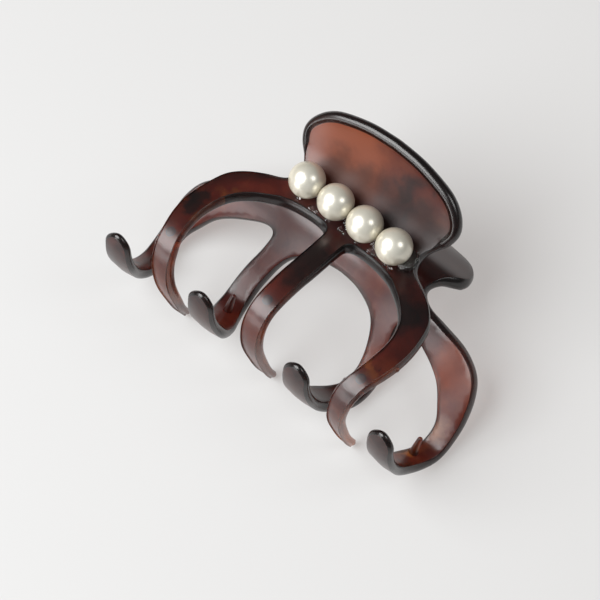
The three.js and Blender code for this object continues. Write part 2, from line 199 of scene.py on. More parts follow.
def blur_kernel(sigma):
    reach = int(math.ceil(3 * sigma))
    weights = np.exp(-0.5 * (np.arange(-reach, reach + 1) / sigma) ** 2)
    return weights / weights.sum()


def blurred(points, sigma, closed):
    """The line smoothed by a Gaussian of sigma points. An open line keeps its ends."""
    kernel = blur_kernel(sigma)
    reach = len(kernel) // 2
    if closed:
        padded = np.vstack([points[-reach:], points, points[:reach]])
    else:
        before = 2 * points[0] - points[reach:0:-1]
        after = 2 * points[-1] - points[-2:-reach - 2:-1]
        padded = np.vstack([before, points, after])
    columns = [np.convolve(padded[:, k], kernel, "valid") for k in range(points.shape[1])]
    return np.column_stack(columns)


def thickness_at(u):
    """The thickness of a jaw's wall at u."""
    stations, walls = zip(*THICKNESS)
    return np.interp(u, stations, walls)


class JawSurface:
    """A jaw's outer face and what lies below it, as x along the hinge, u along the profile from
    the middle of the saddle, and depth below the face. side is 1 for the front jaw and -1 for
    the back jaw. crown bows each row towards the tips, by crown times x squared, and skew leans
    the jaw along Y, by skew times x."""

    PATH_STEP = 0.1
    PATH_BLUR = 0.9        # mm, which rounds the joins of the profile's parts

    def __init__(self, profile, side, crown, skew):
        tab = through(profile["tab"])
        jaw = through(profile["jaw"])
        path = resample(np.vstack([tab, jaw]), self.PATH_STEP)
        self.path = blurred(path, self.PATH_BLUR / self.PATH_STEP, closed=False)
        saddle = np.linalg.norm(jaw[0] - tab[-1])
        self.u = lengths_along(path) - lengths_along(tab)[-1] - saddle / 2
        along = np.gradient(self.path, axis=0)
        self.along = along / np.linalg.norm(along, axis=1)[:, None]
        self.side, self.crown, self.skew = side, crown, skew

    def place(self, x, u, depth):
        inside = np.clip(u, self.u[0], self.u[-1])
        py, pz, ay, az = (
            np.interp(inside, self.u, column)
            for column in (*self.path.T, *self.along.T)
        )
        y = py - az * depth - self.crown * x**2 + self.skew * x
        z = pz + ay * depth
        return np.column_stack([np.broadcast_to(x, y.shape), y, self.side * z])

    def point(self, x, u, depth=0.0):
        """A single point, as a tuple."""
        return tuple(self.place(np.array([x]), np.array([u]), np.array([depth]))[0])


def closed_outline(half):
    """The whole outline as an even, closed loop, running anticlockwise in (x, u)."""
    right = resample(through(half), OUTLINE_STEP)
    right[[0, -1], 0] = 0
    left = right[-2:0:-1] * (-1, 1)
    return blurred(np.vstack([right, left]), OUTLINE_BLUR, closed=True)


def inward(loop):
    """The loop's unit normals, pointing into it."""
    tangent = np.roll(loop, -1, axis=0) - np.roll(loop, 1, axis=0)
    tangent /= np.linalg.norm(tangent, axis=1)[:, None]
    return np.column_stack([-tangent[:, 1], tangent[:, 0]])


def triangulated(points, loop_size):
    """A triangulation of the points inside the loop that the first loop_size of them make: its
    points, its faces, and which of the given points each of its points comes from."""
    inside, tolerance = 1, 1e-7
    ring = [(i, (i + 1) % loop_size) for i in range(loop_size)]
    made = delaunay_2d_cdt([Vector(p) for p in points], ring, [], inside, tolerance)
    return made[0], made[2], made[3]


def crossings(loop):
    """The points where the loop crosses itself."""
    points, _, origins = triangulated(loop, len(loop))
    return np.array([tuple(p) for p, given in zip(points, origins) if not given]).reshape(-1, 2)


def room_inside(loop, normals, wanted):
    """How far each point of the loop can move inwards, up to wanted, before it meets the rest."""
    room = np.full(len(loop), wanted)
    smallest, tries = 0.15 * wanted, 12
    enough, back_off = 0.93, 0.85
    for reach in np.linspace(wanted, smallest, tries):
        # a point that comes nearer to the loop than it has moved has met the other side
        moved = loop + normals * reach
        gaps = np.linalg.norm(moved[:, None] - loop[None], axis=2).min(axis=1)
        blocked = gaps < enough * reach
        room[blocked] = np.minimum(room[blocked], reach * back_off)
    neighbours, blur = range(-4, 5), 3
    near = np.stack([np.roll(room, k) for k in neighbours]).min(axis=0)
    room = blurred(near[:, None], blur, closed=True)[:, 0]
    # where the moved loop would still cross itself, the points around give way
    most_rounds, round_a_knot = 30, 1.5
    for _ in range(most_rounds):
        knots = crossings(loop + normals * room[:, None])
        if len(knots) == 0:
            break
        gaps = np.linalg.norm(loop[:, None] - knots[None], axis=2).min(axis=1)
        room = np.where(gaps < round_a_knot, room * 0.8, room)
    return room


def distance_to(loop, points):
    """How far each point lies from the nearest point of the loop."""
    return np.array([np.linalg.norm(loop - p, axis=1).min() for p in points])


def inside_polygon(points, loop):
    """Which of the points lie inside the loop."""
    x, y = points[:, 0][:, None], points[:, 1][:, None]
    a, b = loop, np.roll(loop, -1, axis=0)
    crosses = (a[:, 1] > y) != (b[:, 1] > y)
    tiny = 1e-12        # keeps a level edge from dividing by zero
    rise = np.where(b[:, 1] == a[:, 1], tiny, b[:, 1] - a[:, 1])
    cut = a[:, 0] + (y - a[:, 1]) / rise * (b[:, 0] - a[:, 0])
    return (crosses & (x < cut)).sum(axis=1) % 2 == 1


def fill(loop, step):
    """Points and triangles that fill the loop. The loop's own points come first."""
    low, high = loop.min(axis=0), loop.max(axis=0)
    row_step = 0.87 * step      # which makes the triangles nearly even
    rows = np.arange(low[1], high[1], row_step)
    grid = [
        (x + (k % 2) * step / 2, u)
        for k, u in enumerate(rows)
        for x in np.arange(low[0], high[0], step)
    ]
    grid = np.array(grid)
    grid = grid[inside_polygon(grid, loop)]
    gaps = np.linalg.norm(grid[:, None] - loop[None], axis=2).min(axis=1)
    clear_of_loop = 0.5 * step
    grid = grid[gaps > clear_of_loop]
    points = np.vstack([loop, grid])
    _, faces, origins = triangulated(points, len(loop))
    came_from = [given[0] for given in origins]
    return points, [tuple(came_from[i] for i in face) for face in faces]


# ---- mesh helpers ----------------------------------------------------------------------------

def new_object(name, vertices, faces, materials, face_material=None):
    """An object from its mesh. face_material gives each face's material by number."""
    mesh = bpy.data.meshes.new(name)
    mesh.from_pydata([tuple(v) for v in vertices], [], [tuple(f) for f in faces])
    for material in materials:
        mesh.materials.append(material)
    if face_material is not None:
        mesh.polygons.foreach_set("material_index", face_material)
    made = bpy.data.objects.new(name, mesh)
    bpy.context.scene.collection.objects.link(made)
    return made


def tidy_normals(made, sharp_angle=38):
    """Turns every face outwards and shades the mesh smooth, with edges where it bends sharply."""
    work = bmesh.new()
    work.from_mesh(made.data)
    bmesh.ops.recalc_face_normals(work, faces=work.faces)
    work.to_mesh(made.data)
    work.free()
    made.data.shade_smooth()
    made.data.set_sharp_from_angle(angle=math.radians(sharp_angle))
    return made


def apply_modifiers(made):
    graph = bpy.context.evaluated_depsgraph_get()
    mesh = bpy.data.meshes.new_from_object(made.evaluated_get(graph))
    made.modifiers.clear()
    made.data = mesh
    return made


def combine(made, others, operation):
    """made with each of the others joined to it or cut from it."""
    for other in others:
        step = made.modifiers.new("combine", "BOOLEAN")
        step.operation = operation
        step.solver = "EXACT"
        step.object = other
        apply_modifiers(made)
        bpy.data.objects.remove(other)
    return made


def tube_faces(rings, sides):
    """The faces of a closed tube of rings with the same number of sides, and of its two ends."""
    faces = []
    for k in range(rings - 1):
        for i in range(sides):
            j = (i + 1) % sides
            a, b = k * sides, (k + 1) * sides
            faces.append((a + i, a + j, b + j, b + i))
    faces.append(tuple(range(sides))[::-1])
    faces.append(tuple(range((rings - 1) * sides, rings * sides)))
    return faces


def lathe(name, profile, sides, materials):
    """A turned solid about X from (x, radius) points that start and end on the axis."""
    vertices, faces, rings = [], [], []
    on_axis = 1e-6
    for x, r in profile:
        if r < on_axis:
            rings.append([len(vertices)])
            vertices.append((x, 0, 0))
            continue
        rings.append(list(range(len(vertices), len(vertices) + sides)))
        turn = np.linspace(0, 2 * math.pi, sides, endpoint=False)
        vertices.extend((x, r * math.cos(a), r * math.sin(a)) for a in turn)
    for a, b in zip(rings, rings[1:]):
        for i in range(sides):
            j = (i + 1) % sides
            corners = [a[i % len(a)], a[j % len(a)], b[j % len(b)], b[i % len(b)]]
            faces.append(list(dict.fromkeys(corners)))
    return new_object(name, to_row(vertices), faces, materials)


def rounded_steps(start, end):
    """Points of a quarter round from one (x, radius) point to another."""
    count = 6
    (x0, r0), (x1, r1) = start, end
    angles = np.linspace(0, math.pi / 2, count)
    return [(x0 + (x1 - x0) * math.sin(a), r1 + (r0 - r1) * math.cos(a)) for a in angles]


# ---- materials -------------------------------------------------------------------------------

class Nodes:
    """A short way to write a node tree."""

    def __init__(self, name):
        self.material = bpy.data.materials.new(name)
        self.material.use_nodes = True
        self.tree = self.material.node_tree
        self.shader = self.tree.nodes["Principled BSDF"]

    def add(self, kind, inputs=(), **settings):
        """A new node. An input is either a value or another node's socket."""
        node = self.tree.nodes.new(kind)
        for key, value in settings.items():
            setattr(node, key, value)
        for key, value in dict(inputs).items():
            if isinstance(value, bpy.types.NodeSocket):
                self.tree.links.new(value, node.inputs[key])
            else:
                node.inputs[key].default_value = value
        return node

    def set(self, **values):
        """Sets or links the shader's own sockets."""
        for key, value in values.items():
            socket = self.shader.inputs[key.replace("_", " ")]
            if isinstance(value, bpy.types.NodeSocket):
                self.tree.links.new(value, socket)
            else:
                socket.default_value = value

    def where(self):
        return self.add("ShaderNodeTexCoord").outputs["Object"]

    def noise(self, scale, detail, rough, vector):
        inputs = {"Vector": vector, "Scale": scale, "Detail": detail, "Roughness": rough}
        return self.add("ShaderNodeTexNoise", inputs).outputs["Fac"]

    def ramp(self, value, stops):
        node = self.add("ShaderNodeValToRGB", {"Fac": value})
        ramp = node.color_ramp
        while len(ramp.elements) < len(stops):
            ramp.elements.new(0.5)
        for element, (position, colour) in zip(ramp.elements, stops):
            element.position = position
            element.color = (*colour, 1)
        return node.outputs["Color"]

    def math(self, operation, a, b):
        return self.add("ShaderNodeMath", {0: a, 1: b}, operation=operation).outputs[0]

    def vector_math(self, operation, inputs, output=0):
        return self.add("ShaderNodeVectorMath", inputs, operation=operation).outputs[output]

    def mix(self, amount, a, b):
        node = self.tree.nodes.new("ShaderNodeMix")
        node.data_type = "RGBA"
        for key, value in (("Factor", amount), ("A", a), ("B", b)):
            socket = next(s for s in node.inputs if s.name == key and s.enabled)
            if isinstance(value, bpy.types.NodeSocket):
                self.tree.links.new(value, socket)
            else:
                socket.default_value = value if key == "Factor" else (*value, 1)
        return next(s for s in node.outputs if s.enabled)

    def bump(self, height, distance, strength):
        inputs = {"Height": height, "Distance": distance, "Strength": strength}
        return self.add("ShaderNodeBump", inputs).outputs["Normal"]

    def near(self, centre, radius, soft, vector=None):
        """1 within radius of a point in the clip's frame, in mm, and 0 beyond radius + soft."""
        point = to_row([centre])[0]
        ends = {0: vector or self.where(), 1: tuple(point)}
        away = self.vector_math("DISTANCE", ends, output="Value")
        inputs = {"Value": away, "From Min": radius * MM, "From Max": (radius + soft) * MM,
                  "To Min": 1.0, "To Max": 0.0}
        return self.add("ShaderNodeMapRange", inputs, interpolation_type="SMOOTHSTEP").outputs[0]


# For each finish of the plastic: the mottle's colours, each with the noise that it starts at,
# and the amber colour, used both for the plastic's amber streaks and for painted glow where
# light shines through thin edges.
PLASTIC = {
    "satin": (
        [(0.34, (0.050, 0.007, 0.006)), (0.50, (0.130, 0.017, 0.009)),
         (0.70, (0.290, 0.054, 0.018))],
        (0.70, 0.24, 0.04),
    ),
    "gloss": (
        [(0.38, (0.035, 0.008, 0.005)), (0.53, (0.150, 0.027, 0.010)),
         (0.72, (0.430, 0.115, 0.025))],
        (0.60, 0.17, 0.03),
    ),
    "dark": (
        [(0.40, (0.008, 0.004, 0.004)), (0.58, (0.020, 0.006, 0.005)),
         (0.78, (0.060, 0.015, 0.010))],
        (0.30, 0.08, 0.02),
    ),
}
# tints for the spots: painted glow of light through the tab, and blotches together with painted shade
PAINTED_GLOW_TINT = (0.40, 0.092, 0.030)
BLOTCH_AND_SHADE_TINT = (0.010, 0.006, 0.006)
SINK_TINT = (0.018, 0.024, 0.036)
SINK_RADIUS = 1.0
TAB_MIDDLE = (0, 13, 13.5)      # of the front jaw's finger tab
BLACK = (0, 0, 0)
STREAK_DRIFT = 0.013            # how far the blotches' edges wander, in metres


def tortoise(name, finish, dark_spots, amber_spots, light_spots=(), sinks=()):
    """Mottled red-brown plastic that lets light through, satin or polished, with painted shade and
    glow spots.
    """
    n = Nodes(name)
    where = n.where()
    drift = n.add("ShaderNodeTexNoise", {"Vector": where, "Scale": 150.0, "Detail": 4.0})
    centred = n.vector_math("SUBTRACT", {0: drift.outputs["Color"], 1: (0.5, 0.5, 0.5)})
    shift = n.vector_math("SCALE", {0: centred, 3: STREAK_DRIFT})
    wandering = n.vector_math("ADD", {0: where, 1: shift})
    stops, amber_and_glow_tint = PLASTIC[finish]
    colour = n.ramp(n.noise(scale=55, detail=3, rough=0.55, vector=wandering), stops)
    # each spot darkens, tints amber or lightens the mottle: partly the plastic's own blotches and
    # streaks, partly painted shade and painted glow
    layers = ((light_spots, PAINTED_GLOW_TINT), (amber_spots, amber_and_glow_tint), (dark_spots, BLOTCH_AND_SHADE_TINT))
    for spots, tint in layers:
        for centre, radius, softness, amount in spots:
            spot = n.near(centre, radius, softness, wandering)
            colour = n.mix(n.math("MULTIPLY", spot, amount), colour, tint)
    for centre in sinks:
        spot = n.near(centre, SINK_RADIUS, 0.25)
        colour = n.mix(n.math("MULTIPLY", spot, 0.8), colour, SINK_TINT)
    if finish == "satin":
        # the finger tab's face is duller and cloudier than the prongs
        dull = n.near(TAB_MIDDLE, 13.0, 10.0)
        colour = n.mix(n.math("MULTIPLY", dull, 0.45), colour, BLACK)
        n.set(Transmission_Weight=n.math("SUBTRACT", 0.9, n.math("MULTIPLY", dull, 0.6)))
        n.set(Specular_IOR_Level=n.math("SUBTRACT", 0.5, n.math("MULTIPLY", dull, 0.35)))
        n.set(Roughness=n.math("ADD", 0.29, n.math("MULTIPLY", dull, 0.16)))
        grain = n.noise(scale=5200, detail=2, rough=0.6, vector=where)
        n.set(Normal=n.bump(grain, distance=0.00002, strength=0.25))
    else:
        n.set(Transmission_Weight=0.85, Roughness=0.25)
    n.set(Base_Color=colour, IOR=1.56)
    return n.material


def pearl_material():
    """Nacre: cloudy cream under a satin coat, darker and yellower towards the edge: nacre's tint and
    painted shade.
    """
    n = Nodes("pearl_nacre")
    where = n.where()
    cloud = n.noise(scale=220, detail=3, rough=0.5, vector=where)
    colour = n.ramp(cloud, [(0.3, (0.60, 0.58, 0.50)), (0.7, (0.67, 0.65, 0.57))])
    # painted shade with the nacre's tint: darker and yellower where the surface turns away from the
    # eye
    rim = n.add("ShaderNodeLayerWeight", {"Blend": 0.40}).outputs["Facing"]
    colour = n.mix(n.math("MULTIPLY", rim, 0.8), colour, (0.58, 0.50, 0.345))
    n.set(Base_Color=colour, Roughness=0.30, Metallic=0.42)
    n.set(Coat_Weight=0.7, Coat_Roughness=0.27)
    waves = n.noise(scale=900, detail=2, rough=0.5, vector=where)
    n.set(Normal=n.bump(waves, distance=0.00003, strength=0.2))
    return n.material


def glue_material():
    """Clear set glue with a wrinkled skin."""
    n = Nodes("set_glue")
    n.set(Base_Color=(0.95, 0.93, 0.92, 1), Roughness=0.05, IOR=1.47, Transmission_Weight=1.0)
    wrinkles = n.noise(scale=1100, detail=3, rough=0.6, vector=n.where())
    n.set(Normal=n.bump(wrinkles, distance=0.0003, strength=0.8))
    return n.material


def steel_material(name, base, rough):
    """Drawn steel, a little darker and rougher where it is worn."""
    n = Nodes(name)
    wear = n.noise(scale=700, detail=3, rough=0.6, vector=n.where())
    n.set(Base_Color=n.ramp(wear, [(0.3, tuple(0.8 * c for c in base)), (0.7, base)]))
    n.set(Metallic=1.0, Roughness=n.ramp(wear, [(0.3, (rough,) * 3), (0.7, (rough * 1.5,) * 3)]))
    return n.material


# ---- jaws ------------------------------------------------------------------------------------

SATIN, GLOSS, NEAR_BLACK = 0, 1, 2      # a jaw's materials, by number


def smoothstep(t):
    t = np.clip(t, 0, 1)
    return t * t * (3 - 2 * t)


def on_tab(u):
    """0 on the prongs and the waist, rising to 1 on the finger tab."""
    tab_from, rise = -4.0, 3.5
    return smoothstep((tab_from - u) / rise)


def jaw_plate(name, surface, half, tab_rim, tab_sink, materials):
    """A jaw's plate: satin faces inside a polished wall that bulges out. Round the tab the wall
    rolls over into a rim, tab_rim wide, and the face inside it lies tab_sink deep."""
    loop = closed_outline(half)
    normals = inward(loop)
    n = len(loop)
    tab = on_tab(loop[:, 1])
    outer_inset = EDGE_INSET + EDGE_FILLET + tab * (tab_rim - EDGE_INSET)
    inner_inset = np.full(n, EDGE_INSET + EDGE_FILLET)
    room = room_inside(loop, normals, outer_inset.max())

    def moved(inset):
        return loop + normals * np.minimum(inset, room)[:, None]

    def sink(u):
        return tab_sink * on_tab(u)

    def drop(u):
        return EDGE_DROP * (1 - on_tab(u))

    outer_points, outer_triangles = fill(moved(outer_inset), FACE_STEP)
    inner_points, inner_triangles = fill(moved(inner_inset), FACE_STEP)

    from_edge = distance_to(loop, outer_points)
    domed = 1 - smoothstep((from_edge - EDGE_INSET - EDGE_FILLET) / DOME_REACH)
    layers = [(outer_points, sink(outer_points[:, 1]) + drop(outer_points[:, 1]) * domed)]
    # on the tab, the sunk face climbs to a half-round bead along the edge
    crest = EDGE_INSET + tab * (BEAD - EDGE_INSET)
    if tab_rim > BEAD:
        for climb in (0.25, 0.55, 0.85):
            reach = outer_inset + climb * (crest - outer_inset)
            layers.append((moved(reach), sink(loop[:, 1]) * (1 - smoothstep(climb))))
    # the wall's rings, from a step under the outer face to a step above the inner one
    wall = thickness_at(loop[:, 1])
    step, squareness = 0.05, 2.4
    for v in (1 - np.cos(np.linspace(0, math.pi, WALL_RINGS))) / 2:
        plain = EDGE_INSET * abs(2 * v - 1) ** squareness
        bead = BEAD * (1 - math.sqrt(1 - (1 - 2 * v) ** 2))
        lean = plain + tab * (bead - plain) if v < 0.5 else np.full(n, plain)
        top = drop(loop[:, 1]) + step * (1 - tab)
        layers.append((moved(lean), top + (wall - step - top) * v))
    layers.append((inner_points, thickness_at(inner_points[:, 1])))

    vertices = [surface.place(points[:, 0], points[:, 1], depth) for points, depth in layers]
    starts = np.cumsum([0] + [len(v) for v in vertices])
    faces = [tuple(reversed(t)) for t in outer_triangles]
    kinds = [SATIN] * len(faces)
    wall_kinds = np.where(loop[:, 1] < DARK_WALLS_TO, NEAR_BLACK, GLOSS)
    for a, b in zip(starts, starts[1:-1]):
        for i in range(n):
            j = (i + 1) % n
            faces.append((a + i, a + j, b + j, b + i))
            kinds.append(int(wall_kinds[i]))
    faces += [tuple(starts[-2] + i for i in t) for t in inner_triangles]
    kinds += [SATIN] * len(inner_triangles)
    return new_object(name, to_row(np.vstack(vertices)), faces, materials, kinds)


def lug(x, side, materials):
    """A plate across the hinge, round about the pin and rooted in the saddle, with soft edges."""
    overlap = 0.9
    root = SADDLE_HEIGHT - thickness_at(0) + overlap
    arc = np.linspace(math.pi, 2 * math.pi, 25)
    outline = [(LUG_RADIUS * math.cos(a), LUG_RADIUS * math.sin(a)) for a in arc]
    outline += [(LUG_RADIUS, root), (-LUG_RADIUS, root)]
    half = LUG_THICKNESS / 2
    # each ring of the plate as its offset along X and how far it is drawn in
    layers = [(-half, 0.25), (-half + 0.1, 0.08), (-half + 0.25, 0), (half - 0.25, 0),
              (half - 0.1, 0.08), (half, 0.25)]
    vertices = []
    k = len(outline)
    for offset, inset in layers:
        shrink = 1 - inset / LUG_RADIUS
        vertices += [(x + offset, y * shrink, side * (z * shrink if z < 0 else z)) for y, z in outline]
    faces = tube_faces(len(layers), k)
    made = new_object("lug", to_row(vertices), faces, materials, [GLOSS] * len(faces))
    return tidy_normals(made)


def spike(surface, x, u, materials):
    """A grip spike on the inside of a prong: a round-ended cone, square to the inner face."""
    wall = float(thickness_at(u))
    foot = np.array(surface.point(x, u, wall - 0.5))
    direction = np.array(surface.point(x, u, wall)) - surface.point(x, u)
    direction /= np.linalg.norm(direction)
    across = np.cross(direction, (1, 0, 0))
    across /= np.linalg.norm(across)
    other = np.cross(direction, across)
    # (height, radius) from the foot to the round tip
    cone, tip = 4.4, 0.6
    profile = [(0, 1.1), (0.6, 1.05), (2.5, 0.83), (cone, tip)]
    profile += [(cone + tip * math.sin(a), tip * math.cos(a)) for a in np.linspace(0.2, 1.45, 6)]
    sides = 20
    turn = np.linspace(0, 2 * math.pi, sides, endpoint=False)
    vertices = [foot + direction * h + (across * math.cos(a) + other * math.sin(a)) * r
                for h, r in profile for a in turn]
    faces = tube_faces(len(profile), sides)
    return tidy_normals(new_object("spike", to_row(vertices), faces, materials, [SATIN] * len(faces)))


def bore(materials):
    """The hole for the hinge pin, as a solid to cut away."""
    reach, clearance = 20, 0.15
    radius = PIN_RADIUS + clearance
    profile = [(-reach, 0), (-reach, radius), (reach, radius), (reach, 0)]
    return tidy_normals(lathe("bore", profile, 32, materials))


def ball(name, centre, radii, levels, materials, face_kind=0):
    """An ellipsoid of nearly even triangles."""
    work = bmesh.new()
    bmesh.ops.create_icosphere(work, subdivisions=levels, radius=1)
    mesh = bpy.data.meshes.new(name)
    work.to_mesh(mesh)
    work.free()
    co = np.array([v.co for v in mesh.vertices]) * radii + centre
    mesh.vertices.foreach_set("co", to_row(co).astype(np.float32).ravel())
    for material in materials:
        mesh.materials.append(material)
    mesh.polygons.foreach_set("material_index", [face_kind] * len(mesh.polygons))
    made = bpy.data.objects.new(name, mesh)
    bpy.context.scene.collection.objects.link(made)
    return made


def jaw(name, surface, outline, tab_rim, tab_sink, lug_x, spikes, gate, materials):
    """A whole jaw. gate is the (x, u) of the small nub left on the wall by the mould's gate."""
    made = tidy_normals(jaw_plate(name, surface, outline, tab_rim, tab_sink, materials))
    added = [lug(end * lug_x, surface.side, materials) for end in (-1, 1)]
    added += [spike(surface, x, u, materials) for x, u in spikes]
    nub = surface.point(*gate, depth=1.3)
    added.append(ball("nub", nub, (0.55, 0.6, 0.6), 3, materials, GLOSS))
    combine(made, added, "UNION")
    combine(made, [bore(materials)], "DIFFERENCE")
    tidy_normals(made)
    return made


front_surface = JawSurface(FRONT_PROFILE, side=1, crown=0.0016, skew=0.012)
back_surface = JawSurface(BACK_PROFILE, side=-1, crown=0.0006, skew=0.032)
FRONT_SPIKES = [(-26.1, 27), (0, 27), (26.1, 27)]
BACK_SPIKES = [(-36.6, 33.5), (-15.8, 33.5), (15.8, 33.5), (36.6, 33.5)]

# Where the plastic is drawn darker, more amber or lighter, each as (point, radius, softness,
# amount): partly the tortoiseshell's own blotches and streaks, partly painted shade and painted
# glow, as said below.
DARK = [((-28.7, -17.7, 13.7), 2.3, 1.5, 0.96), ((0.5, -13.1, 12.0), 2.6, 6.0, 0.92),
        ((21.0, -9.3, 9.6), 2.4, 4.2, 0.95), ((27.6, -19.9, 14.0), 0.8, 0.7, 0.95),
        # painted shade: these three darken the front tab along the pearls, where the hinge and the
        # back jaw lie behind it
        ((-8, 4, 9), 3.0, 6.0, 0.6), ((4, 4, 9), 3.0, 6.0, 0.6), ((15, 5, 9), 5.0, 8.0, 0.75),
        ((-38, -31, -9), 3.0, 4.0, 0.9), ((15, -33, -8), 3.5, 4.0, 0.9),
        # painted shade: the second here darkens the back jaw's finger tab, which lies in the shade of
        # the front tab
        ((38.5, -33, -8), 2.0, 3.0, 0.7), ((17, 7, -13), 7.0, 7.0, 0.8),
        # painted shade: these two draw a dark line on the front tab where the spring's leg shows
        # through it
        ((6, 10.5, 11.5), 1.2, 3.5, 0.75), ((8, 13, 13.5), 0.8, 2.5, 0.6)]
# painted glow: the three near x = -23 on the front jaw run along the left arch's inner edge, where
# light shines through the thin edge
AMBER = [((-36, -17, -12.5), 0.6, 2.0, 0.95), ((-23.6, -18.5, 13.5), 0.6, 2.2, 0.6),
         ((35.4, -23.4, -13.4), 1.0, 4.0, 0.5), ((34, -31, -13), 1.5, 3.5, 0.6),
         ((-23.8, -14, 11.5), 0.5, 2.2, 0.35), ((-22.5, -11, 10), 0.5, 2.0, 0.2),
         ((26.5, -22.5, 14.8), 0.6, 1.6, 0.35)]
# painted glow of light shining through the front finger tab
LIGHT = [((-10, 12, 12), 5.0, 13.0, 0.85)]
HOOK_X = (-36, -13, 13, 36)
# the hooks drawn darker towards their tips
DARK += [(back_surface.point(x, 61.5, 1.0), 1.5, 2.5, 0.7) for x in HOOK_X]
DARK += [(back_surface.point(x, 54.5), 4.0, 4.0, 0.6) for x in HOOK_X]
SINKS = [front_surface.point(x, u) for x, u in FRONT_SPIKES]

satin = tortoise("tortoise_satin", "satin", DARK, AMBER, LIGHT, SINKS)
gloss = tortoise("tortoise_gloss", "gloss", DARK, AMBER)
dark = tortoise("tortoise_dark", "dark", DARK, ())

front_jaw = jaw("front_jaw_shell", front_surface, FRONT_OUTLINE, tab_rim=2.0, tab_sink=0.3,
                lug_x=FRONT_LUG_X, spikes=FRONT_SPIKES, gate=(29.8, 19.8),
                materials=[satin, gloss, dark])
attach(front_jaw, "front_half")
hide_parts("front_jaw")

back_jaw = jaw("back_jaw_shell", back_surface, BACK_OUTLINE, tab_rim=0.6, tab_sink=0.0,
               lug_x=BACK_LUG_X, spikes=BACK_SPIKES, gate=(40.1, 31.0),
               materials=[satin, dark, dark])
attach(back_jaw, "back_half")
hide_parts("back_jaw")


# ---- hinge pin and spring --------------------------------------------------------------------

steel = steel_material("pin_wire", (0.62, 0.60, 0.57), 0.25)
spring_steel = steel_material("spring_wire", (0.55, 0.53, 0.50), 0.22)

end = PIN_HALF_LENGTH + PIN_HEAD_LENGTH
corner = 0.1
half_profile = [(0, PIN_RADIUS), (PIN_HALF_LENGTH - corner / 2, PIN_RADIUS),
                (PIN_HALF_LENGTH, PIN_RADIUS + corner), (PIN_HALF_LENGTH, PIN_HEAD_RADIUS - corner),
                (PIN_HALF_LENGTH + corner, PIN_HEAD_RADIUS)]
half_profile += rounded_steps((PIN_HALF_LENGTH + 2 * corner, PIN_HEAD_RADIUS), (end, 0))
pin_profile = [(-x, r) for x, r in half_profile[:0:-1]] + half_profile
pin = tidy_normals(lathe("hinge_pin_rod", pin_profile, 40, [steel]))
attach(pin, "back_half")
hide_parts("hinge_pin")


def spring_path():
    """The wire's centreline: a leg along the front tab, the coil, and a leg along the back tab."""
    front_lean, back_lean = 12, 30      # degrees, so that each leg lies along its tab
    front_angle = math.radians(90 + front_lean)
    back_angle = math.radians(270 - back_lean)
    sweep = SPRING_TURNS * 2 * math.pi + back_angle - front_angle
    points_per_turn = 40
    s = np.linspace(0, 1, SPRING_TURNS * points_per_turn)
    angle = front_angle + sweep * s
    x = -SPRING_HALF_LENGTH + 2 * SPRING_HALF_LENGTH * s
    coil = np.column_stack([x, SPRING_RADIUS * np.cos(angle), SPRING_RADIUS * np.sin(angle)])
    out = np.linspace(SPRING_LEG, 0.5, 12)[:, None]
    first = coil[0] - out * np.array([0, -math.sin(front_angle), math.cos(front_angle)])
    last = coil[-1] + out[::-1] * np.array([0, -math.sin(back_angle), math.cos(back_angle)])
    return blurred(resample(np.vstack([first, coil, last]), 0.2), 2, closed=False)


def tube(name, path, radius, sides, materials):
    """A round wire along a path, with domed ends."""
    tangent = np.gradient(path, axis=0)
    tangent /= np.linalg.norm(tangent, axis=1)[:, None]
    normal = np.cross(tangent[0], (1, 0, 0))
    vertices = []
    turn = np.linspace(0, 2 * math.pi, sides, endpoint=False)
    # each ring as its point of the path, its offset along it and its size, both in radii
    ends = [(-0.9, 0.3), (-0.6, 0.75)]
    rings = [(0, o, r) for o, r in ends] + [(i, 0, 1) for i in range(len(path))]
    rings += [(len(path) - 1, -o, r) for o, r in reversed(ends)]
    for i, offset, size in rings:
        normal = normal - tangent[i] * (normal @ tangent[i])
        normal /= np.linalg.norm(normal)
        other = np.cross(tangent[i], normal)
        centre = path[i] + tangent[i] * offset * radius
        vertices += [centre + (normal * math.cos(a) + other * math.sin(a)) * radius * size
                     for a in turn]
    return tidy_normals(new_object(name, to_row(vertices), tube_faces(len(rings), sides), materials))


spring = tube("torsion_spring_wire", spring_path(), SPRING_WIRE, 12, [spring_steel])
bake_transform(spring)
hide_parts("torsion_spring")

# ---- pearls and glue -------------------------------------------------------------------------

nacre = pearl_material()
glue_clear = glue_material()
draw = random.Random(7)

for i, x in enumerate(PEARL_X):
    pearl = ball(f"pearl_bead_{i + 1}", (x, 0, PEARL_HEIGHT), (PEARL_RADIUS,) * 3, levels=5,
                 materials=[nacre])
    tidy_normals(pearl)
    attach(pearl, "front_half")
    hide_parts(f"pearl_{i + 1}")

